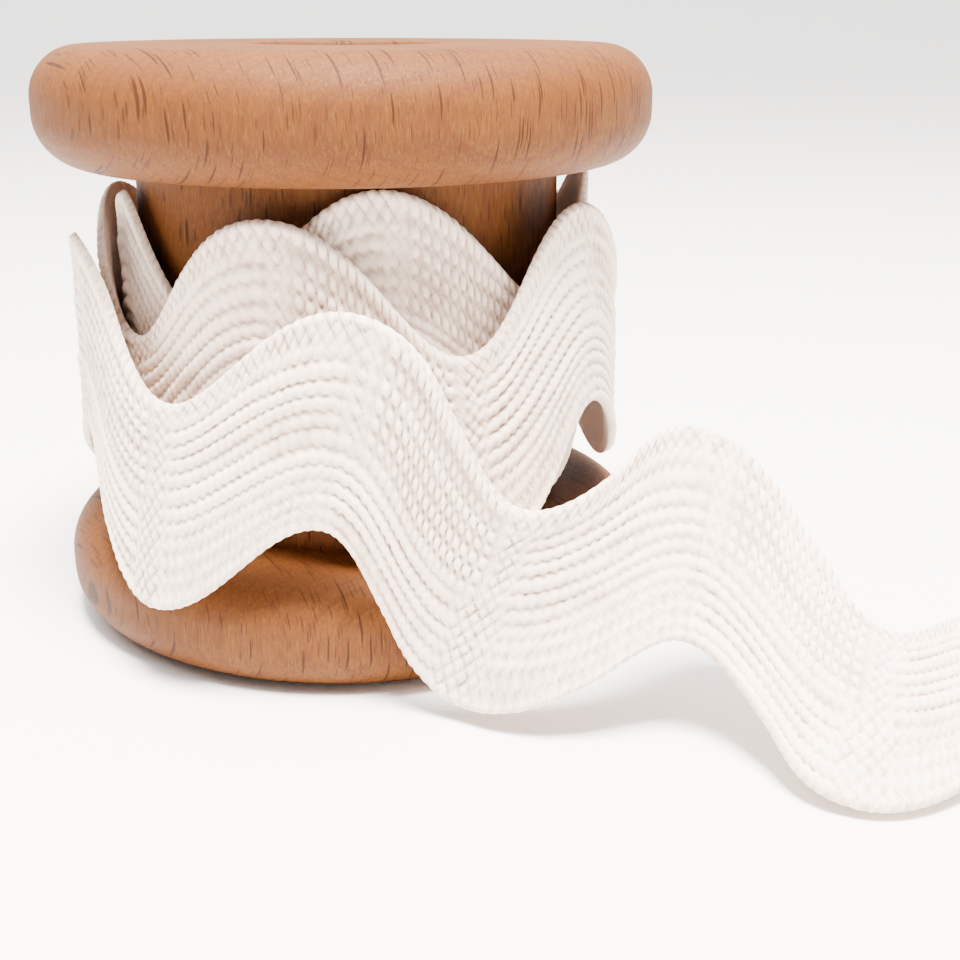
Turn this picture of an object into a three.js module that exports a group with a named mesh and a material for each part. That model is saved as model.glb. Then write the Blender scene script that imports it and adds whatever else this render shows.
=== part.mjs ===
// Roll of ric rac on a wooden spool.
// Millimetres, +Z up. The spool stands on its lower flange and the loose end of the braid
// runs out over the surface towards +X and -Y.

import * as THREE from 'three';

// Spool sizes
const FLANGE_RADIUS = 25;
const FLANGE_THICKNESS = 9.2;
const RIM_ROUNDING = 4;
const SPOOL_HEIGHT = 46.7;
const CORE_RADIUS = 17.4;
const BORE_RADIUS = 7.75;
const BORE_CHAMFER = 0.4;
const SPOOL_SEGMENTS = 72;
const ROUNDING_STEPS = 7;

// Ric rac sizes: a flat braid whose two edges swing up and down together
const BAND_WIDTH = 15.8;
const WAVE_SWING = 9.4;
const TROUGH_TIGHTNESS = 0.06;
const BRAID_THICKNESS = 1.2;
const STEPS_PER_WAVE = 24;

// The way the braid's middle line runs round the spool and out over the surface.
// wave counts the crests from the inner end, turn is degrees round the spool's axis,
// radius and height place the middle line, and lean tips the top edge inwards from upright.
const BRAID_PATH = [
  { wave: 1.0, turn: 110, radius: 18.4, height: 24.2, lean: 0 },
  { wave: 2.0, turn: 200.5, radius: 18.7, height: 23.2, lean: 0 },
  { wave: 2.5, turn: 236, radius: 19, height: 24.1, lean: 0 },
  { wave: 3.0, turn: 276.5, radius: 19.2, height: 24.5, lean: 0 },
  { wave: 3.5, turn: 321, radius: 19.4, height: 24.5, lean: 0 },
  { wave: 4.0, turn: 359.5, radius: 19.6, height: 24.5, lean: 0 },
  { wave: 5.0, turn: 443, radius: 19.8, height: 24, lean: 0 },
  { wave: 6.0, turn: 528, radius: 20.25, height: 22.7, lean: 0 },
  { wave: 6.5, turn: 576, radius: 20.5, height: 22.25, lean: 0 },
  { wave: 7.0, turn: 613, radius: 21.3, height: 22.7, lean: 0 },
  { wave: 7.5, turn: 651.5, radius: 22, height: 22, lean: 5 },
  { wave: 8.0, turn: 686, radius: 22.2, height: 22.6, lean: 4 },
  { wave: 8.5, turn: 726, radius: 22.1, height: 23.2, lean: 0 },
  { wave: 9.0, turn: 763, radius: 22, height: 23, lean: 0 },
  { wave: 10.0, turn: 841, radius: 21.9, height: 22.3, lean: 0 },
  { wave: 10.5, turn: 880, radius: 22.9, height: 21.75, lean: 4 },
  { wave: 10.75, turn: 899.5, radius: 22.9, height: 21.1, lean: 3 },
  { wave: 11.0, turn: 920, radius: 22.6, height: 20.2, lean: -1 },
  { wave: 11.25, turn: 938, radius: 23.6, height: 19.6, lean: 4 },
  { wave: 11.5, turn: 955.5, radius: 25.1, height: 19.2, lean: 6 },
  { wave: 12.0, turn: 985.5, radius: 26.3, height: 17.4, lean: 1 },
  { wave: 12.25, turn: 998.2, radius: 28.2, height: 15.6, lean: -4 },
  { wave: 12.5, turn: 1009.2, radius: 30.9, height: 13.5, lean: 0 },
  { wave: 12.75, turn: 1018.7, radius: 34.3, height: 11.5, lean: 18 },
  { wave: 13.0, turn: 1026.8, radius: 38.4, height: 10.1, lean: 38 },
  { wave: 13.25, turn: 1032.9, radius: 43.7, height: 8.3, lean: 54 },
  { wave: 13.5, turn: 1037, radius: 49, height: 5.8, lean: 65 },
  { wave: 13.75, turn: 1040.4, radius: 54.2, height: 3.4, lean: 75 },
  { wave: 14.0, turn: 1043.3, radius: 60, height: 1.9, lean: 83 },
  { wave: 14.25, turn: 1046, radius: 66.1, height: 1.05, lean: 88 },
  { wave: 14.5, turn: 1048.5, radius: 72.5, height: 0.7, lean: 90 },
];
const INNER_END_WAVE = 1.0;
const JOIN_WAVE = 10.6;
const OUTER_END_WAVE = 14.35;
const JOIN_GAP_WAVES = 0.011;
const TANGENT_STEP = 0.01;

// Wood and cotton, as colours with roughness
const BEECH = { color: 0xc98f63, roughness: 0.5, metalness: 0 };
const COTTON = { color: 0xf1ebe4, roughness: 0.9, metalness: 0 };

function roundedCorner(centreR, centreZ, fromDegrees, toDegrees) {
  const points = [];
  for (let step = 0; step <= ROUNDING_STEPS; step += 1) {
    const share = step / ROUNDING_STEPS;
    const angle = THREE.MathUtils.degToRad(THREE.MathUtils.lerp(fromDegrees, toDegrees, share));
    const r = centreR + RIM_ROUNDING * Math.cos(angle);
    const z = centreZ + RIM_ROUNDING * Math.sin(angle);
    points.push(new THREE.Vector2(r, z));
  }
  return points;
}

// Outline of one flange from its lower flat, round the rim, to its upper flat
function flangeOutline(bottomZ) {
  const roundingR = FLANGE_RADIUS - RIM_ROUNDING;
  const lowerZ = bottomZ + RIM_ROUNDING;
  const upperZ = bottomZ + FLANGE_THICKNESS - RIM_ROUNDING;
  return [
    ...roundedCorner(roundingR, lowerZ, -90, 0),
    ...roundedCorner(roundingR, upperZ, 0, 90),
  ];
}

// One turned piece: two thick flanges, a thick core and a hole right through
function spoolGeometry() {
  const upperFlangeZ = SPOOL_HEIGHT - FLANGE_THICKNESS;
  const profile = [
    new THREE.Vector2(BORE_RADIUS + BORE_CHAMFER, 0),
    ...flangeOutline(0),
    new THREE.Vector2(CORE_RADIUS, FLANGE_THICKNESS),
    new THREE.Vector2(CORE_RADIUS, upperFlangeZ),
    ...flangeOutline(upperFlangeZ),
    new THREE.Vector2(BORE_RADIUS + BORE_CHAMFER, SPOOL_HEIGHT),
    new THREE.Vector2(BORE_RADIUS, SPOOL_HEIGHT - BORE_CHAMFER),
    new THREE.Vector2(BORE_RADIUS, BORE_CHAMFER),
  ];
  profile.push(profile[0].clone());
  const geometry = new THREE.LatheGeometry(profile, SPOOL_SEGMENTS);
  geometry.rotateX(Math.PI / 2);
  return geometry;
}

// Slope of one column of the path at one of its rows
function slopeAt(column, index) {
  const before = BRAID_PATH[Math.max(index - 1, 0)];
  const after = BRAID_PATH[Math.min(index + 1, BRAID_PATH.length - 1)];
  return (after[column] - before[column]) / (after.wave - before.wave);
}

// Smooth value of one column of the path at any wave count
function alongPath(column, wave) {
  let index = 0;
  while (index < BRAID_PATH.length - 2 && BRAID_PATH[index + 1].wave < wave) {
    index += 1;
  }
  const start = BRAID_PATH[index];
  const end = BRAID_PATH[index + 1];
  const span = end.wave - start.wave;
  const t = (wave - start.wave) / span;
  const rise = end[column] - start[column];
  const startPull = slopeAt(column, index) * span - rise;
  const endPull = rise - slopeAt(column, index + 1) * span;
  return start[column] + t * rise + t * (1 - t) * ((1 - t) * startPull + t * endPull);
}

function middleLine(wave) {
  const angle = THREE.MathUtils.degToRad(alongPath('turn', wave));
  const radius = alongPath('radius', wave);
  return new THREE.Vector3(
    radius * Math.cos(angle),
    radius * Math.sin(angle),
    alongPath('height', wave),
  );
}

// Directions of the braid at a wave count: across its band, and out of its outer face
function braidDirections(wave) {
  const ahead = middleLine(wave + TANGENT_STEP);
  const run = ahead.sub(middleLine(wave - TANGENT_STEP)).normalize();
  const outward = new THREE.Vector3(run.y, -run.x, 0).normalize();
  const across = new THREE.Vector3().crossVectors(outward, run).normalize();
  const lean = THREE.MathUtils.degToRad(alongPath('lean', wave));
  across.applyAxisAngle(run, -lean);
  outward.applyAxisAngle(run, -lean);
  return { across, outward };
}

// Distance of the upper (side 1) or lower (side -1) edge from the middle line.
// Crests are broad and troughs tight on the upper edge, and the other way round below.
function edgeDistance(wave, side) {
  const phase = 2 * Math.PI * wave;
  const tightening = TROUGH_TIGHTNESS * (1 - Math.cos(2 * phase));
  return side * BAND_WIDTH / 2 + (WAVE_SWING / 2) * (Math.cos(phase) + side * tightening);
}

// Corners of the braid's section at one wave count, in order round the section
function sectionCorners(wave) {
  const middle = middleLine(wave);
  const { across, outward } = braidDirections(wave);
  const corner = (side, face) => middle.clone()
    .addScaledVector(across, edgeDistance(wave, side))
    .addScaledVector(outward, face * BRAID_THICKNESS / 2);
  return [corner(1, 1), corner(-1, 1), corner(-1, -1), corner(1, -1)];
}

// Closed sheet of braid between two wave counts
function braidGeometry(fromWave, toWave) {
  const steps = Math.round((toWave - fromWave) * STEPS_PER_WAVE);
  const positions = [];
  for (let step = 0; step <= steps; step += 1) {
    const wave = THREE.MathUtils.lerp(fromWave, toWave, step / steps);
    for (const corner of sectionCorners(wave)) {
      positions.push(corner.x, corner.y, corner.z);
    }
  }
  const corners = 4;
  const indices = [];
  for (let step = 0; step < steps; step += 1) {
    for (let corner = 0; corner < corners; corner += 1) {
      const a = step * corners + corner;
      const b = step * corners + (corner + 1) % corners;
      indices.push(a, b, b + corners, a, b + corners, a + corners);
    }
  }
  const last = steps * corners;
  indices.push(0, 2, 1, 0, 3, 2);
  indices.push(last, last + 1, last + 2, last, last + 2, last + 3);
  const geometry = new THREE.BufferGeometry();
  geometry.setAttribute('position', new THREE.Float32BufferAttribute(positions, 3));
  geometry.setIndex(indices);
  geometry.computeVertexNormals();
  return geometry;
}

function namedMesh(name, geometry, finish) {
  const mesh = new THREE.Mesh(geometry, new THREE.MeshStandardMaterial(finish));
  mesh.name = name;
  return mesh;
}

// The parts stand with the middle of their whole box over the origin
function centredOverOrigin(meshes) {
  const group = new THREE.Group();
  group.add(...meshes);
  const box = new THREE.Box3().setFromObject(group);
  const middle = box.getCenter(new THREE.Vector3());
  for (const mesh of meshes) {
    mesh.position.set(-middle.x, -middle.y, -box.min.z);
  }
  return group;
}

const spool = namedMesh('spool', spoolGeometry(), BEECH);
const woundRoll = namedMesh('wound_roll', braidGeometry(INNER_END_WAVE, JOIN_WAVE), COTTON);
const looseEnd = namedMesh(
  'loose_end',
  braidGeometry(JOIN_WAVE + JOIN_GAP_WAVES, OUTER_END_WAVE),
  COTTON,
);

export default centredOverOrigin([spool, woundRoll, looseEnd]);
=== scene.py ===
# Roll of white ric rac on a turned beech spool, its loose end lying on a pale table.
# Metres, +Z up. Sizes named _MM are millimetres.

import math

import bpy
import numpy as np
from mathutils import Matrix, Vector


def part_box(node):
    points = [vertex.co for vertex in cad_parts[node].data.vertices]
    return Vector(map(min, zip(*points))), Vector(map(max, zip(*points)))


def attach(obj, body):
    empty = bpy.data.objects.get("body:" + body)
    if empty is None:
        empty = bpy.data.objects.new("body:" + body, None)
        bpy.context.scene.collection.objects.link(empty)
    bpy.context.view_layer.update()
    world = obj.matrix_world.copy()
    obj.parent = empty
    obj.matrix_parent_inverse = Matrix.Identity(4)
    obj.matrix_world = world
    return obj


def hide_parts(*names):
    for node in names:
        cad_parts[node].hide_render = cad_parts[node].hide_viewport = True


MM = 0.001

# Spool sizes
FLANGE_RADIUS_MM = 25.0
FLANGE_THICKNESS_MM = 9.2
RIM_ROUNDING_MM = 4.0
SPOOL_HEIGHT_MM = 46.7
CORE_RADIUS_MM = 17.4
BORE_RADIUS_MM = 7.75
BORE_CHAMFER_MM = 0.4
SPOOL_SIDES = 192
ROUNDING_SEGMENTS = 14

# Ric rac sizes: a flat braid whose two edges swing up and down together
BAND_WIDTH_MM = 15.8
WAVE_SWING_MM = 9.4
TROUGH_TIGHTNESS = 0.06
BRAID_THICKNESS_MM = 1.2

# The way the braid's middle line runs round the spool and out over the table.
# wave counts the crests from the inner end, turn is degrees round the spool's axis,
# radius and height (mm) place the middle line, and lean tips the top edge inwards from upright.
BRAID_PATH = [
    {"wave": 1.0, "turn": 110, "radius": 18.4, "height": 24.2, "lean": 0},
    {"wave": 2.0, "turn": 200.5, "radius": 18.7, "height": 23.2, "lean": 0},
    {"wave": 2.5, "turn": 236, "radius": 19, "height": 24.1, "lean": 0},
    {"wave": 3.0, "turn": 276.5, "radius": 19.2, "height": 24.5, "lean": 0},
    {"wave": 3.5, "turn": 321, "radius": 19.4, "height": 24.5, "lean": 0},
    {"wave": 4.0, "turn": 359.5, "radius": 19.6, "height": 24.5, "lean": 0},
    {"wave": 5.0, "turn": 443, "radius": 19.8, "height": 24, "lean": 0},
    {"wave": 6.0, "turn": 528, "radius": 20.25, "height": 22.7, "lean": 0},
    {"wave": 6.5, "turn": 576, "radius": 20.5, "height": 22.25, "lean": 0},
    {"wave": 7.0, "turn": 613, "radius": 21.3, "height": 22.7, "lean": 0},
    {"wave": 7.5, "turn": 651.5, "radius": 22, "height": 22, "lean": 5},
    {"wave": 8.0, "turn": 686, "radius": 22.2, "height": 22.6, "lean": 4},
    {"wave": 8.5, "turn": 726, "radius": 22.1, "height": 23.2, "lean": 0},
    {"wave": 9.0, "turn": 763, "radius": 22, "height": 23, "lean": 0},
    {"wave": 10.0, "turn": 841, "radius": 21.9, "height": 22.3, "lean": 0},
    {"wave": 10.5, "turn": 880, "radius": 22.9, "height": 21.75, "lean": 4},
    {"wave": 10.75, "turn": 899.5, "radius": 22.9, "height": 21.1, "lean": 3},
    {"wave": 11.0, "turn": 920, "radius": 22.6, "height": 20.2, "lean": -1},
    {"wave": 11.25, "turn": 938, "radius": 23.6, "height": 19.6, "lean": 4},
    {"wave": 11.5, "turn": 955.5, "radius": 25.1, "height": 19.2, "lean": 6},
    {"wave": 12.0, "turn": 985.5, "radius": 26.3, "height": 17.4, "lean": 1},
    {"wave": 12.25, "turn": 998.2, "radius": 28.2, "height": 15.6, "lean": -4},
    {"wave": 12.5, "turn": 1009.2, "radius": 30.9, "height": 13.5, "lean": 0},
    {"wave": 12.75, "turn": 1018.7, "radius": 34.3, "height": 11.5, "lean": 18},
    {"wave": 13.0, "turn": 1026.8, "radius": 38.4, "height": 10.1, "lean": 38},
    {"wave": 13.25, "turn": 1032.9, "radius": 43.7, "height": 8.3, "lean": 54},
    {"wave": 13.5, "turn": 1037, "radius": 49, "height": 5.8, "lean": 65},
    {"wave": 13.75, "turn": 1040.4, "radius": 54.2, "height": 3.4, "lean": 75},
    {"wave": 14.0, "turn": 1043.3, "radius": 60, "height": 1.9, "lean": 83},
    {"wave": 14.25, "turn": 1046, "radius": 66.1, "height": 1.05, "lean": 88},
    {"wave": 14.5, "turn": 1048.5, "radius": 72.5, "height": 0.7, "lean": 90},
]
INNER_END_WAVE = 1.0
FIRST_SPLIT_WAVE = 5.45
SECOND_SPLIT_WAVE = 9.9
OUTER_END_WAVE = 14.35
TANGENT_STEP = 0.01

# The stitches: ribs along the braid, and the cells of the mesh in each rib and stitch
RIBS = 13
STITCHES_PER_WAVE = 40
CELLS_PER_RIB = 6
STEPS_PER_STITCH = 6

# How much the stitches spread over the crests, and the ribs outside each bend
CREST_STRETCH = 0.0207
RIB_STRETCH = 0.26

# Relief of the three kinds of stitch: level scales, ropes along the braid, and round pearls
SCALE_HEIGHT_MM = 0.24
SCALE_OVERLAP_MM = 0.11
SCALE_REST_MM = 0.10
ROPE_HEIGHT_MM = 0.40
ROPE_NOTCH_MM = 0.15
ROPE_NOTCH_SLANT = 0.6
PEARL_HEIGHT_MM = 0.42
LOW_PEARL_SHARE = 0.45
UNEVEN_BEAD_MM = 0.05
UNEVEN_RIB = 0.19
UNEVEN_STITCH = 0.15
UNEVEN_HEIGHT = 0.42
HIGHEST_BEAD_MM = 0.50
INNER_FACE_DEPTH_MM = 0.10

# The lower half of the band starts between these shares of its width from the upper edge
LOWER_HALF_FROM = 0.42
LOWER_HALF_TO = 0.62

# The edges: smooth bands, wider inside each bend, and a softly rounded, scalloped outline
EDGE_BAND_MM = 0.9
INNER_BEND_BAND_MM = 1.7
EDGE_SOFTNESS_MM = 0.5
EDGE_SCALLOP_MM = 0.08
EDGE_RELIEF_SHARE = 0.6
EDGE_THICKNESS_SHARE = 0.3

# Camera, as a photographer would note it
CAMERA_BACK_MM = 118.469
CAMERA_HEIGHT_MM = 49.139
CAMERA_PAN_DEG = 5.315
CAMERA_DOWN_DEG = 18.735
CAMERA_LENS = 51.874
CAMERA_SENSOR = 36.0

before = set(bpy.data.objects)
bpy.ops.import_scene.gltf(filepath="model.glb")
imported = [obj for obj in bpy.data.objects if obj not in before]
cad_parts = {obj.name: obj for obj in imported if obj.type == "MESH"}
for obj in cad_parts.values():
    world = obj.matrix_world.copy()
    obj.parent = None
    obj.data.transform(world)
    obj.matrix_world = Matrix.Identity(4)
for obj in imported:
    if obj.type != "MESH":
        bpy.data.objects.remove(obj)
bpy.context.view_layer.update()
spool_low, spool_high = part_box("spool")
AXIS_X = (spool_low.x + spool_high.x) / 2
AXIS_Y = (spool_low.y + spool_high.y) / 2


# Path of the braid
def path_column(name):
    return np.array([row[name] for row in BRAID_PATH], float)


PATH_WAVES = path_column("wave")


def along_path(name, wave):
    """Smooth value of one column of the path at many wave counts."""
    values = path_column(name)
    last = len(values) - 1
    before = np.maximum(np.arange(last + 1) - 1, 0)
    after = np.minimum(np.arange(last + 1) + 1, last)
    slopes = (values[after] - values[before]) / (PATH_WAVES[after] - PATH_WAVES[before])
    index = np.clip(np.searchsorted(PATH_WAVES, wave) - 1, 0, last - 1)
    span = PATH_WAVES[index + 1] - PATH_WAVES[index]
    t = (wave - PATH_WAVES[index]) / span
    rise = values[index + 1] - values[index]
    start_pull = slopes[index] * span - rise
    end_pull = rise - slopes[index + 1] * span
    return values[index] + t * rise + t * (1 - t) * ((1 - t) * start_pull + t * end_pull)


def middle_line(wave):
    angle = np.radians(along_path("turn", wave))
    radius = along_path("radius", wave)
    x = AXIS_X / MM + radius * np.cos(angle)
    y = AXIS_Y / MM + radius * np.sin(angle)
    return np.stack([x, y, along_path("height", wave)], -1)


def unit(vectors):
    return vectors / np.linalg.norm(vectors, axis=-1, keepdims=True)


def braid_directions(wave):
    """Across the band, and out of its outer face."""
    run = unit(middle_line(wave + TANGENT_STEP) - middle_line(wave - TANGENT_STEP))
    level = np.zeros_like(wave)
    outward = unit(np.stack([run[:, 1], -run[:, 0], level], -1))
    across = unit(np.cross(outward, run))
    lean = np.radians(along_path("lean", wave))[:, None]
    leaned_across = across * np.cos(lean) - outward * np.sin(lean)
    leaned_outward = outward * np.cos(lean) + across * np.sin(lean)
    return leaned_across, leaned_outward


def edge_distance(wave, side):
    """Distance of the upper (side 1) or lower (side -1) edge from the middle line, in mm."""
    phase = 2 * np.pi * wave
    tightening = TROUGH_TIGHTNESS * (1 - np.cos(2 * phase))
    scallop = side * EDGE_SCALLOP_MM * np.abs(np.sin(np.pi * STITCHES_PER_WAVE * wave))
    swing = (WAVE_SWING_MM / 2) * (np.cos(phase) + side * tightening)
    return side * BAND_WIDTH_MM / 2 + swing + scallop


# Relief of the braid
def round_bump(x):
    """1 at x = 0, falling as a half circle to 0 at x = -0.5 and 0.5."""
    return np.sqrt(np.clip(1 - (2 * x) ** 2, 0, 1))


def smooth_step(x, low, high):
    t = np.clip((x - low) / (high - low), 0, 1)
    return t * t * (3 - 2 * t)


def unevenness(along, across, seed):
    """Smooth random value from -1 to 1, with a rise or a dip about every whole number."""
    size = 64
    grid = np.random.default_rng(seed).uniform(-1, 1, (size, size))
    row = np.floor(along).astype(int)
    column = np.floor(across).astype(int)
    u = smooth_step(along - row, 0, 1)
    v = smooth_step(across - column, 0, 1)

    def corner(i, j):
        return grid[(row + i) % size, (column + j) % size]

    near = corner(0, 0) * (1 - u) + corner(1, 0) * u
    far = corner(0, 1) * (1 - u) + corner(1, 1) * u
    return near * (1 - v) + far * v


def stitch_count(wave):
    """Stitches along the braid: long ones over the crests, short ones on the flanks."""
    return STITCHES_PER_WAVE * (wave - CREST_STRETCH * np.sin(4 * np.pi * wave))


def rib_share(rib, wave):
    """How far across the band a rib lies: ribs are wide outside a bend and narrow inside it."""
    phase = 2 * np.pi * wave
    stretch = RIB_STRETCH * np.minimum(1, np.cos(phase) + np.maximum(np.sin(phase), 0))
    root = np.sqrt((1 - stretch) ** 2 + 4 * stretch * rib / RIBS)
    return 2 * rib / RIBS / (1 - stretch + root)


def bead(stitch, rib, shift):
    """Round bead at every whole stitch and rib count, moved by a share of both."""
    along = stitch + shift - np.floor(stitch + shift) - 0.5
    across = rib + shift - np.floor(rib + shift) - 0.5
    return np.sqrt(np.clip(1 - np.abs(2.2 * along) ** 2.2 - np.abs(2.5 * across) ** 2.2, 0, 1))


def scale(stitch, rib):
    """Diamond where one yarn lies over the others, a little tilted so that it overlaps the next."""
    right = stitch + rib
    left = stitch - rib
    right_part = right - np.floor(right) - 0.5
    left_part = left - np.floor(left) - 0.5
    near_seam = np.maximum(np.abs(2 * right_part), np.abs(2 * left_part))
    return SCALE_HEIGHT_MM * (1 - near_seam ** 3) - SCALE_OVERLAP_MM * (right_part + left_part)


def stitch_relief(stitch, rib, wave):
    """Height of the braid's face in mm under its highest beads, and which way its yarn slants.

    On the rising flank the yarn stands up as ropes that run on over the crest, on the falling
    flank as rows of beads with ropes below them, and elsewhere it lies level and shows as
    scales."""
    share = rib / RIBS
    phase = 2 * np.pi * wave
    falling = smooth_step(np.sin(phase - 0.1), 0.0, 0.5)
    rising = smooth_step(-np.sin(phase - 0.2), -0.25, 0.45)
    lower = smooth_step(share, LOWER_HALF_FROM, LOWER_HALF_TO)
    ropes = rising * smooth_step(share, 0.04, 0.2) * (1 - smooth_step(share, 0.55, 0.8))
    ropes = np.clip(ropes + smooth_step(np.sin(phase + 0.2), 0.0, 0.5) * lower, 0, 1)
    pearls = falling * (1 - lower) + 0.5 * rising * smooth_step(share, 0.6, 0.8)
    pearls = np.clip(pearls, 0, 1) * (1 - ropes)
    scales = 1 - ropes - pearls
    rib = rib + UNEVEN_RIB * unevenness(stitch / 7, rib / 1.5, 3)
    stitch = stitch + UNEVEN_STITCH * unevenness(stitch / 3, rib / 2, 5)
    patchy = 1 + UNEVEN_HEIGHT * unevenness(stitch / 9, rib / 1.3, 7)
    across = rib - np.floor(rib) - 0.5
    slant = np.where(np.sin(phase) > 0, 1.0, -1.0)
    notch = np.abs(np.cos(np.pi * (stitch + ROPE_NOTCH_SLANT * slant * across))) ** 2.5
    near_groove = 0.3 + 0.7 * smooth_step(np.abs(across), 0.08, 0.4)
    rope = ROPE_HEIGHT_MM * round_bump(0.95 * across) - ROPE_NOTCH_MM * notch * near_groove
    low_bead = LOW_PEARL_SHARE * bead(stitch, rib, 0.5)
    pearl = PEARL_HEIGHT_MM * np.maximum(bead(stitch, rib, 0.0), low_bead)
    height = patchy * (ropes * rope + pearls * pearl) + scales * (scale(stitch, rib) + SCALE_REST_MM)
    height = height + UNEVEN_BEAD_MM * unevenness(stitch + rib, stitch - rib, 11)
    return np.minimum(height - HIGHEST_BEAD_MM, 0), slant


# Braid pieces
def half_thickness(from_top, from_bottom, wave, height):
    """Distance of each face from the middle of the sheet in mm, thinner towards both edges."""
    trough = (1 - np.cos(2 * np.pi * wave)) / 2
    top_band = EDGE_BAND_MM + INNER_BEND_BAND_MM * trough
    bottom_band = EDGE_BAND_MM + INNER_BEND_BAND_MM * (1 - trough)
    top_fade = smooth_step(from_top, 0.3 * top_band, top_band)
    bottom_fade = smooth_step(from_bottom, 0.3 * bottom_band, bottom_band)
    fade = EDGE_RELIEF_SHARE + (1 - EDGE_RELIEF_SHARE) * top_fade * bottom_fade
    from_edge = np.minimum(from_top, from_bottom)
    roundness = np.sqrt(np.clip(1 - (1 - from_edge / EDGE_SOFTNESS_MM) ** 2, 0, 1))
    roundness = np.where(from_edge >= EDGE_SOFTNESS_MM, 1, roundness)
    share = EDGE_THICKNESS_SHARE + (1 - EDGE_THICKNESS_SHARE) * roundness
    return BRAID_THICKNESS_MM / 2 * share + height * fade


def braid_piece(name, from_wave, to_wave):
    """Closed sheet of braid between two wave counts, with its stitches raised on its outer face."""
    fine_wave = np.linspace(from_wave, to_wave, 20001)
    fine_stitch = stitch_count(fine_wave)
    steps = round((fine_stitch[-1] - fine_stitch[0]) * STEPS_PER_STITCH)
    stitch = np.linspace(fine_stitch[0], fine_stitch[-1], steps + 1)
    wave = np.interp(stitch, fine_stitch, fine_wave)
    middle = middle_line(wave)
    across, outward = braid_directions(wave)
    top = edge_distance(wave, 1)
    bottom = edge_distance(wave, -1)
    outer_ribs = np.linspace(0, RIBS, RIBS * CELLS_PER_RIB + 1)
    inner_ribs = np.linspace(RIBS, 0, RIBS + 1)
    ribs = np.concatenate([outer_ribs, inner_ribs])
    face = np.concatenate([np.ones_like(outer_ribs), -np.ones_like(inner_ribs)])
    wave_grid, rib_grid = np.meshgrid(wave, ribs, indexing="ij")
    stitch_grid = np.repeat(stitch[:, None], len(ribs), 1)
    height, slant = stitch_relief(stitch_grid, rib_grid, wave_grid)
    height = np.where(face > 0, height, -INNER_FACE_DEPTH_MM)
    width = (top - bottom)[:, None]
    from_top = rib_share(rib_grid, wave_grid) * width
    half = half_thickness(from_top, width - from_top, wave_grid, height)
    offset = top[:, None] - from_top
    points = (
        middle[:, None, :]
        + across[:, None, :] * offset[..., None]
        + outward[:, None, :] * (half * face[None, :])[..., None]
    )
    count = len(ribs)
    vertices = points.reshape(-1, 3) * MM
    row = np.arange(steps)[:, None] * count
    here = row + np.arange(count)[None, :]
    beside = row + (np.arange(count)[None, :] + 1) % count
    sides = np.stack([here, beside, beside + count, here + count], -1).reshape(-1, 4)
    start_cap = end_caps(0, len(outer_ribs), len(inner_ribs), False)
    finish_cap = end_caps(steps * count, len(outer_ribs), len(inner_ribs), True)
    faces = sides.tolist() + start_cap + finish_cap
    mesh = bpy.data.meshes.new(name)
    mesh.from_pydata(vertices.tolist(), [], faces)
    mesh.update()
    piece = bpy.data.objects.new(name, mesh)
    bpy.context.scene.collection.objects.link(piece)
    add_braid_values(mesh, stitch_grid, rib_grid, height, slant)
    return piece


def end_caps(first, outer_count, inner_count, forward):
    """Faces that close one cut end, between the points of the outer and the inner face."""
    faces = []
    per_inner = (outer_count - 1) // (inner_count - 1)
    for inner in range(inner_count - 1):
        low = first + outer_count + inner_count - 1 - inner
        outer = [first + inner * per_inner + k for k in range(per_inner + 1)]
        loop = outer + [low - 1, low]
        faces.append(loop[::-1] if forward else loop)
    return faces


def add_braid_values(mesh, stitch, rib, height, slant):
    """Stores each point's stitch and rib counts as a UV map, and its depth and yarn slant."""
    uv = mesh.uv_layers.new(name="stitches")
    corners = np.zeros(len(mesh.loops), np.int32)
    mesh.loops.foreach_get("vertex_index", corners)
    counts = np.stack([stitch.ravel(), rib.ravel()], -1)[corners]
    uv.data.foreach_set("uv", counts.astype(np.float32).ravel())
    low = height.min()
    raised = mesh.attributes.new("raised", "FLOAT", "POINT")
    raised.data.foreach_set("value", (1 - height / low).astype(np.float32).ravel())
    yarn = mesh.attributes.new("slant", "FLOAT", "POINT")
    yarn.data.foreach_set("value", slant.astype(np.float32).ravel())


# Turned spool
def edit_select(piece, kind, wanted):
    """In edit mode, selects only the edges or faces for which wanted is true."""
    bpy.ops.object.mode_set(mode="EDIT")
    bpy.ops.mesh.select_mode(type=kind)
    bpy.ops.mesh.select_all(action="DESELECT")
    bpy.ops.object.mode_set(mode="OBJECT")
    items = {"EDGE": piece.data.edges, "FACE": piece.data.polygons}[kind]
    for item in items:
        item.select = bool(wanted(item))
    bpy.ops.object.mode_set(mode="EDIT")


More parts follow.
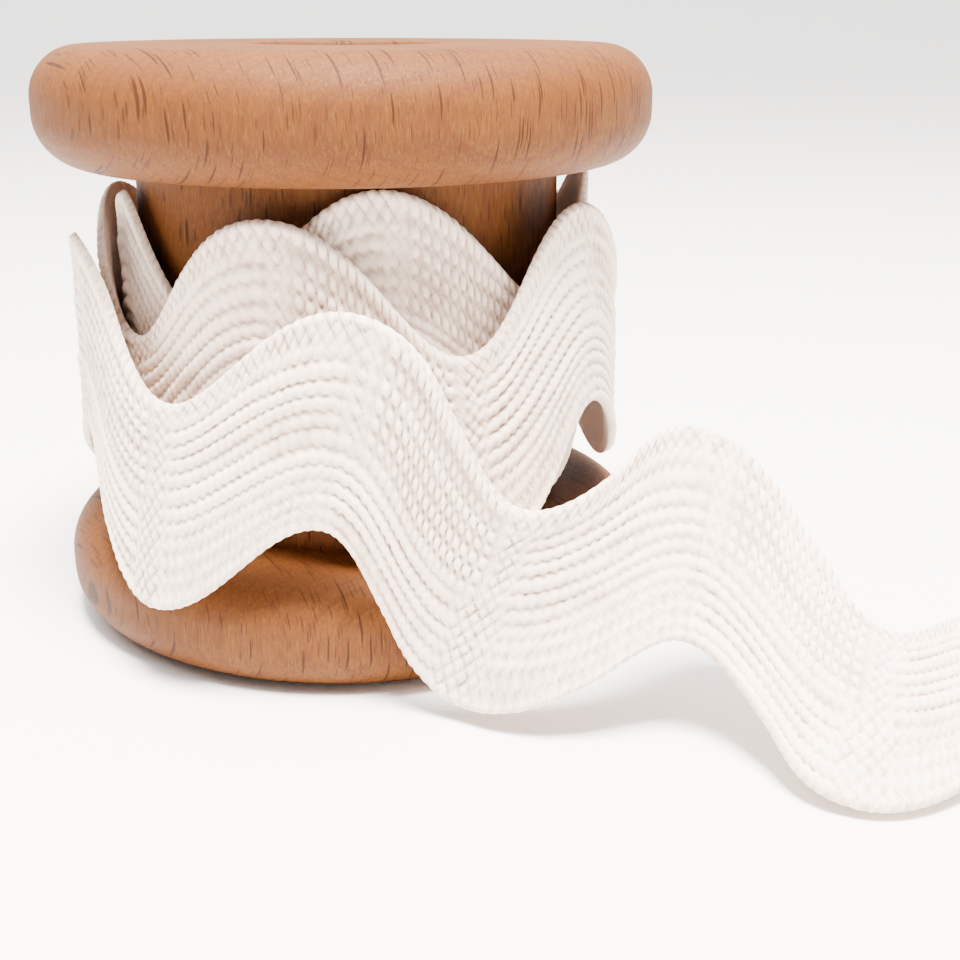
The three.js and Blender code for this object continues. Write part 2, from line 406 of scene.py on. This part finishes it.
def turned_spool():
    bpy.ops.object.select_all(action="DESELECT")
    bpy.ops.mesh.primitive_cylinder_add(
        vertices=SPOOL_SIDES,
        radius=FLANGE_RADIUS_MM * MM,
        depth=SPOOL_HEIGHT_MM * MM,
        end_fill_type="NGON",
        location=(AXIS_X, AXIS_Y, SPOOL_HEIGHT_MM * MM / 2),
    )
    piece = bpy.context.active_object
    piece.name = "turned_spool"
    bpy.ops.object.transform_apply(location=True, rotation=True, scale=True)
    height = SPOOL_HEIGHT_MM * MM

    def radius_of(points):
        centre = sum(points, Vector()) / len(points)
        return (centre - Vector((AXIS_X, AXIS_Y, centre.z))).length

    def corners(item):
        return [piece.data.vertices[i].co for i in item.vertices]

    # the hole: both end faces inset to its size, then joined through the wood
    edit_select(piece, "FACE", lambda f: abs(f.normal.z) > 0.9)
    bpy.ops.mesh.inset(thickness=(FLANGE_RADIUS_MM - BORE_RADIUS_MM) * MM, depth=0)
    bpy.ops.object.mode_set(mode="OBJECT")
    ends = [f.index for f in piece.data.polygons if len(f.vertices) > 4]
    edit_select(piece, "FACE", lambda f: f.index in ends)
    bpy.ops.mesh.bridge_edge_loops()

    # the winding space: two cuts round, and the wall between them pushed in to the core
    for cut_z in (FLANGE_THICKNESS_MM, SPOOL_HEIGHT_MM - FLANGE_THICKNESS_MM):
        edit_select(piece, "FACE", lambda f: True)
        bpy.ops.mesh.bisect(
            plane_co=(0, 0, cut_z * MM), plane_no=(0, 0, 1), use_fill=False,
            clear_inner=False, clear_outer=False,
        )
    near_rim = (FLANGE_RADIUS_MM - 1) * MM

    def is_winding_wall(face):
        points = corners(face)
        between = all(
            FLANGE_THICKNESS_MM * MM - 1e-5 < p.z < height - FLANGE_THICKNESS_MM * MM + 1e-5
            for p in points
        )
        return between and radius_of(points) > near_rim

    edit_select(piece, "FACE", is_winding_wall)
    depth = (FLANGE_RADIUS_MM - CORE_RADIUS_MM) * MM
    bpy.ops.mesh.extrude_region_shrink_fatten(
        TRANSFORM_OT_shrink_fatten={"value": -depth}
    )

    # rounded rims and a small chamfer at each mouth of the hole
    def is_rim_edge(edge):
        points = corners(edge)
        level = abs(points[0].z - points[1].z) < 1e-6
        return level and all(radius_of([p]) > near_rim for p in points)

    edit_select(piece, "EDGE", is_rim_edge)
    bpy.ops.mesh.bevel(
        offset=RIM_ROUNDING_MM * MM, offset_type="OFFSET", segments=ROUNDING_SEGMENTS,
        profile=0.5, affect="EDGES",
    )

    def is_mouth_edge(edge):
        points = corners(edge)
        at_end = all(p.z < 1e-6 or p.z > height - 1e-6 for p in points)
        return at_end and all(radius_of([p]) < (BORE_RADIUS_MM + 0.5) * MM for p in points)

    edit_select(piece, "EDGE", is_mouth_edge)
    bpy.ops.mesh.bevel(
        offset=BORE_CHAMFER_MM * MM, offset_type="OFFSET", segments=3, affect="EDGES"
    )
    bpy.ops.mesh.select_all(action="SELECT")
    bpy.ops.mesh.remove_doubles(threshold=1e-6)
    bpy.ops.mesh.normals_make_consistent(inside=False)
    bpy.ops.object.mode_set(mode="OBJECT")
    bpy.ops.object.shade_smooth_by_angle(angle=math.radians(40))
    return piece


# Finishes
class Finish:
    """A material and short ways to add and join its nodes."""

    def __init__(self, name):
        self.material = bpy.data.materials.new(name)
        self.material.use_nodes = True
        self.tree = self.material.node_tree
        self.shader = self.tree.nodes["Principled BSDF"]

    def add(self, kind, **settings):
        node = self.tree.nodes.new("ShaderNode" + kind)
        for key, value in settings.items():
            setattr(node, key, value)
        return node

    def join(self, source, target):
        self.tree.links.new(source, target)

    def put(self, socket, value):
        """Joins an output to a socket, or sets the socket to a plain value."""
        if isinstance(value, bpy.types.NodeSocket):
            self.join(value, socket)
        else:
            socket.default_value = value

    def math(self, operation, first, second=0.0, third=0.0):
        node = self.add("Math", operation=operation)
        for socket, value in zip(node.inputs, (first, second, third)):
            self.put(socket, value)
        return node.outputs[0]

    def stretch(self, vector, scale):
        node = self.add("Mapping", vector_type="POINT")
        self.join(vector, node.inputs["Vector"])
        node.inputs["Scale"].default_value = scale
        return node.outputs["Vector"]

    def noise(self, vector, scale, detail=2.0, roughness=0.5):
        node = self.add("TexNoise")
        self.join(vector, node.inputs["Vector"])
        node.inputs["Scale"].default_value = scale
        node.inputs["Detail"].default_value = detail
        node.inputs["Roughness"].default_value = roughness
        return node.outputs["Fac"]

    def drift(self, vector, scale, amount):
        """Moves a vector gently to and fro by noise."""
        noise = self.add("TexNoise")
        self.join(vector, noise.inputs["Vector"])
        noise.inputs["Scale"].default_value = scale
        moved = self.add("VectorMath", operation="MULTIPLY_ADD")
        self.join(noise.outputs["Color"], moved.inputs[0])
        moved.inputs[1].default_value = amount
        self.join(vector, moved.inputs[2])
        return moved.outputs[0]

    def fade(self, value, low, high, to_low=0.0, to_high=1.0):
        node = self.add("MapRange", interpolation_type="SMOOTHSTEP")
        for name, given in (
            ("Value", value), ("From Min", low), ("From Max", high),
            ("To Min", to_low), ("To Max", to_high),
        ):
            self.put(node.inputs[name], given)
        return node.outputs["Result"]

    def blend(self, share, first, second, kind="MIX"):
        node = self.add("Mix", data_type="RGBA", blend_type=kind)
        self.put(node.inputs["Factor"], share)
        self.put(node.inputs["A"], first)
        self.put(node.inputs["B"], second)
        return node.outputs["Result"]

    def bump(self, height, distance, strength=1.0, under=None):
        node = self.add("Bump")
        self.join(height, node.inputs["Height"])
        node.inputs["Distance"].default_value = distance
        node.inputs["Strength"].default_value = strength
        if under is not None:
            self.join(under, node.inputs["Normal"])
        return node.outputs["Normal"]


def rgb(red, green, blue):
    return (red, green, blue, 1.0)


# The spool's wood: where the pith lay, the growth rings, and the rays' size in their cells
RINGS_TURN_DEG = -24.6
PITH_AWAY_MM = 110.0
RING_WIDTH_MM = 1.05
RING_WANDER_MM = 2.2
RAY_RADIUS = 0.36


def growth_rings(finish, grain):
    """Dark late wood of rings round a pith far behind the spool."""
    parts = finish.add("SeparateXYZ")
    finish.join(grain, parts.inputs[0])
    wander = finish.noise(finish.stretch(grain, (0.10, 0.10, 0.035)), 1.0, 2.0)
    away = finish.math("SUBTRACT", PITH_AWAY_MM, parts.outputs["Y"])
    squared = finish.math("MULTIPLY", away, away)
    sideways = finish.math("MULTIPLY", parts.outputs["X"], parts.outputs["X"])
    from_pith = finish.math("SQRT", finish.math("ADD", squared, sideways))
    from_pith = finish.math("MULTIPLY_ADD", wander, RING_WANDER_MM, from_pith)
    ring = finish.math("FRACT", finish.math("DIVIDE", from_pith, RING_WIDTH_MM))
    darkening = finish.fade(ring, 0.45, 0.93)
    return finish.math("MULTIPLY", darkening, finish.fade(ring, 0.93, 1.0, 1.0, 0.0))


def beech_rays(finish, grain, spacing, seldom):
    """Spindle-shaped rays, spaced in mm across, towards the pith and along the axis."""
    cells = finish.add("TexVoronoi", feature="F1")
    per_mm = [1 / step for step in spacing]
    finish.join(finish.stretch(grain, per_mm), cells.inputs["Vector"])
    cells.inputs["Scale"].default_value = 1.0
    tint = finish.add("SeparateColor")
    finish.join(cells.outputs["Color"], tint.inputs[0])
    size = finish.fade(tint.outputs[1], 0.0, 1.0, RAY_RADIUS * 0.5, RAY_RADIUS)
    chosen = finish.math("GREATER_THAN", tint.outputs[0], seldom)
    solid_size = finish.math("MULTIPLY", size, 0.6)
    near = finish.fade(cells.outputs["Distance"], solid_size, size, 1.0, 0.0)
    return finish.math("MULTIPLY", chosen, near)


def beech_finish():
    finish = Finish("steamed_beech")
    place = finish.add("TexCoord").outputs["Object"]
    wood = finish.add("Mapping", vector_type="POINT")
    finish.join(place, wood.inputs["Vector"])
    turn = Matrix.Rotation(math.radians(RINGS_TURN_DEG), 3, "Z")
    wood.inputs["Rotation"].default_value = (0, 0, math.radians(RINGS_TURN_DEG))
    wood.inputs["Scale"].default_value = (1 / MM, 1 / MM, 1 / MM)
    wood.inputs["Location"].default_value = -(turn @ Vector((AXIS_X, AXIS_Y, 0))) / MM
    grain = finish.drift(wood.outputs["Vector"], 0.12, (0.8, 0.8, 0.0))

    # rings, then fibres, streaks and pores along the axis, then rays
    late_wood = growth_rings(finish, grain)
    fibres = finish.noise(finish.stretch(grain, (6.0, 6.0, 0.9)), 1.0, 4.0, 0.7)
    streaks = finish.noise(finish.stretch(grain, (2.6, 2.6, 0.16)), 1.0, 3.0, 0.6)
    pores = finish.noise(finish.stretch(grain, (12.0, 12.0, 2.0)), 1.0, 2.0, 0.6)
    pore_share = finish.fade(pores, 0.57, 0.70)
    large_rays = beech_rays(finish, grain, (0.32, 10.0, 5.4), 0.22)
    small_rays = beech_rays(finish, grain, (0.20, 5.0, 2.4), 0.15)

    broad = finish.noise(grain, 0.09, 2.0)
    broad_share = finish.fade(broad, 0.3, 0.7)
    colour = finish.blend(broad_share, rgb(0.108, 0.038, 0.0065), rgb(0.088, 0.029, 0.0045))
    for share, tone in (
        (finish.math("MULTIPLY", late_wood, 0.75), rgb(0.082, 0.024, 0.006)),
        (finish.fade(streaks, 0.40, 0.70, 0.0, 0.40), rgb(0.088, 0.027, 0.007)),
        (finish.fade(fibres, 0.42, 0.68, 0.0, 0.55), rgb(0.080, 0.024, 0.006)),
        (finish.fade(fibres, 0.50, 0.30, 0.0, 0.35), rgb(0.165, 0.066, 0.018)),
        (finish.math("MULTIPLY", pore_share, 0.35), rgb(0.055, 0.016, 0.005)),
        (finish.math("MULTIPLY", small_rays, 0.75), rgb(0.040, 0.011, 0.003)),
        (finish.math("MULTIPLY", large_rays, 0.85), rgb(0.026, 0.007, 0.002)),
    ):
        colour = finish.blend(share, colour, tone)
    finish.join(colour, finish.shader.inputs["Base Color"])
    finish.join(finish.fade(fibres, 0.3, 0.7, 0.56, 0.70), finish.shader.inputs["Roughness"])
    finish.shader.inputs["Specular IOR Level"].default_value = 0.12
    relief = finish.math("SUBTRACT", finish.math("MULTIPLY", fibres, 0.5), pore_share)
    relief = finish.math("SUBTRACT", relief, large_rays)
    finish.join(finish.bump(relief, 0.03 * MM, 0.6), finish.shader.inputs["Normal"])
    return finish.material


def cotton_finish():
    finish = Finish("white_cotton_braid")
    stitches = finish.add("UVMap", uv_map="stitches").outputs["UV"]
    slant = finish.add("Attribute", attribute_name="slant").outputs["Fac"]
    raised = finish.add("Attribute", attribute_name="raised").outputs["Fac"]
    parts = finish.add("SeparateXYZ")
    finish.join(stitches, parts.inputs[0])
    stitch = parts.outputs["X"]
    rib = parts.outputs["Y"]
    slanted = finish.math("MULTIPLY_ADD", slant, rib, stitch)

    # fine fibres that run along each slanted yarn
    yarn = finish.add("CombineXYZ")
    finish.join(finish.math("MULTIPLY", slanted, 7.0), yarn.inputs["X"])
    finish.join(finish.math("MULTIPLY", rib, 2.2), yarn.inputs["Y"])
    fibres = finish.noise(yarn.outputs[0], 1.0, 3.0, 0.6)
    place = finish.add("TexCoord").outputs["Object"]
    fuzz = finish.noise(place, 2600.0, 3.0, 0.6)
    patches = finish.noise(place, 160.0, 2.0)

    # painted shade: the colour darkens towards the low places between the stitches and ribs, by their
    # depth
    unshaded_share = finish.fade(raised, 0.15, 0.75)
    colour = finish.blend(unshaded_share, rgb(0.38, 0.26, 0.19), rgb(0.83, 0.675, 0.57))
    colour = finish.blend(finish.fade(fibres, 0.40, 0.75, 0.0, 0.35), colour, rgb(0.90, 0.80, 0.72))
    colour = finish.blend(finish.fade(patches, 0.35, 0.7, 0.0, 0.18), colour, rgb(0.82, 0.70, 0.62))
    finish.join(colour, finish.shader.inputs["Base Color"])
    finish.shader.inputs["Roughness"].default_value = 0.92
    finish.shader.inputs["Specular IOR Level"].default_value = 0.25
    finish.shader.inputs["Sheen Weight"].default_value = 0.2
    finish.shader.inputs["Sheen Roughness"].default_value = 0.5
    finish.shader.inputs["Subsurface Weight"].default_value = 0.15
    finish.shader.inputs["Subsurface Radius"].default_value = (0.9, 0.7, 0.55)
    finish.shader.inputs["Subsurface Scale"].default_value = 0.6 * MM
    first = finish.bump(fibres, 0.05 * MM, 0.8)
    finish.join(finish.bump(fuzz, 0.03 * MM, 0.5, first), finish.shader.inputs["Normal"])
    return finish.material


def table_finish():
    finish = Finish("pale_table")
    place = finish.add("TexCoord").outputs["Object"]
    speckle = finish.noise(place, 900.0, 2.0)
    colour = finish.blend(finish.fade(speckle, 0.3, 0.7), rgb(0.86, 0.85, 0.84), rgb(0.88, 0.87, 0.86))
    finish.join(colour, finish.shader.inputs["Base Color"])
    finish.shader.inputs["Roughness"].default_value = 0.6
    return finish.material


# The object
spool = turned_spool()
spool.data.materials.clear()
spool.data.materials.append(beech_finish())
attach(spool, "root")
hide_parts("spool")

cotton = cotton_finish()


def laid_braid(name, from_wave, to_wave, replaced):
    piece = braid_piece(name, from_wave, to_wave)
    piece.data.materials.append(cotton)
    bpy.ops.object.select_all(action="DESELECT")
    bpy.context.view_layer.objects.active = piece
    piece.select_set(True)
    bpy.ops.object.shade_smooth_by_angle(angle=math.radians(75))
    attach(piece, "root")
    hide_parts(*replaced)


laid_braid("inner_turn", INNER_END_WAVE, FIRST_SPLIT_WAVE, ["wound_roll"])
laid_braid("middle_turn", FIRST_SPLIT_WAVE, SECOND_SPLIT_WAVE, ["wound_roll"])
laid_braid(
    "outer_turn_and_loose_end", SECOND_SPLIT_WAVE, OUTER_END_WAVE,
    ["wound_roll", "loose_end"],
)

# Table, light and camera
bpy.ops.object.select_all(action="DESELECT")
SWEEP_START = 1.2
SWEEP_RADIUS = 1.5
TABLE_SIZE = 30.0


def table_with_sweep():
    """A wide table whose far side curves up behind the object."""
    far_edge = SWEEP_START + SWEEP_RADIUS
    bpy.ops.mesh.primitive_plane_add(size=TABLE_SIZE, location=(0, far_edge - TABLE_SIZE / 2, 0))
    table = bpy.context.active_object
    table.name = "table"
    bpy.ops.object.transform_apply(location=True, rotation=True, scale=True)

    def at_far_edge(edge):
        return all(table.data.vertices[i].co.y > far_edge - 0.01 for i in edge.vertices)

    edit_select(table, "EDGE", at_far_edge)
    bpy.ops.mesh.extrude_region_move(TRANSFORM_OT_translate={"value": (0, 0, 2 * SWEEP_RADIUS)})
    bpy.ops.object.mode_set(mode="OBJECT")

    def is_corner(edge):
        return at_far_edge(edge) and all(table.data.vertices[i].co.z < 0.01 for i in edge.vertices)

    edit_select(table, "EDGE", is_corner)
    bpy.ops.mesh.bevel(offset=SWEEP_RADIUS, offset_type="OFFSET", segments=48, affect="EDGES")
    bpy.ops.object.mode_set(mode="OBJECT")
    bpy.ops.object.shade_smooth()
    table.data.materials.append(table_finish())


table_with_sweep()

world = bpy.data.worlds.new("studio")
bpy.context.scene.world = world
world.use_nodes = True
world.node_tree.nodes["Background"].inputs["Color"].default_value = rgb(1.0, 0.975, 0.955)
world.node_tree.nodes["Background"].inputs["Strength"].default_value = 0.5


def soft_light(name, place, size, power, tint):
    lamp = bpy.data.lights.new(name, "AREA")
    lamp.shape = "SQUARE"
    lamp.size = size
    lamp.energy = power
    lamp.color = tint
    light = bpy.data.objects.new(name, lamp)
    bpy.context.scene.collection.objects.link(light)
    light.location = Vector(place)
    aim = Vector((AXIS_X, AXIS_Y, 0.02)) - light.location
    light.rotation_euler = aim.to_track_quat("-Z", "Y").to_euler()
    return light


soft_light("main_softbox", (AXIS_X + 0.02, AXIS_Y - 0.12, 0.42), 0.14, 20.0, (1.0, 0.94, 0.88))
soft_light("ceiling", (AXIS_X, AXIS_Y + 0.6, 3.2), 6.0, 600.0, (1.0, 0.97, 0.955))

camera_data = bpy.data.cameras.new("camera")
camera_data.sensor_width = CAMERA_SENSOR
camera_data.lens = CAMERA_LENS
camera_data.clip_start = 0.005
camera_data.clip_end = 50.0
camera = bpy.data.objects.new("camera", camera_data)
bpy.context.scene.collection.objects.link(camera)
camera.location = (AXIS_X, AXIS_Y - CAMERA_BACK_MM * MM, CAMERA_HEIGHT_MM * MM)
camera.rotation_euler = (
    math.radians(90 - CAMERA_DOWN_DEG), 0, -math.radians(CAMERA_PAN_DEG)
)
bpy.context.scene.camera = camera
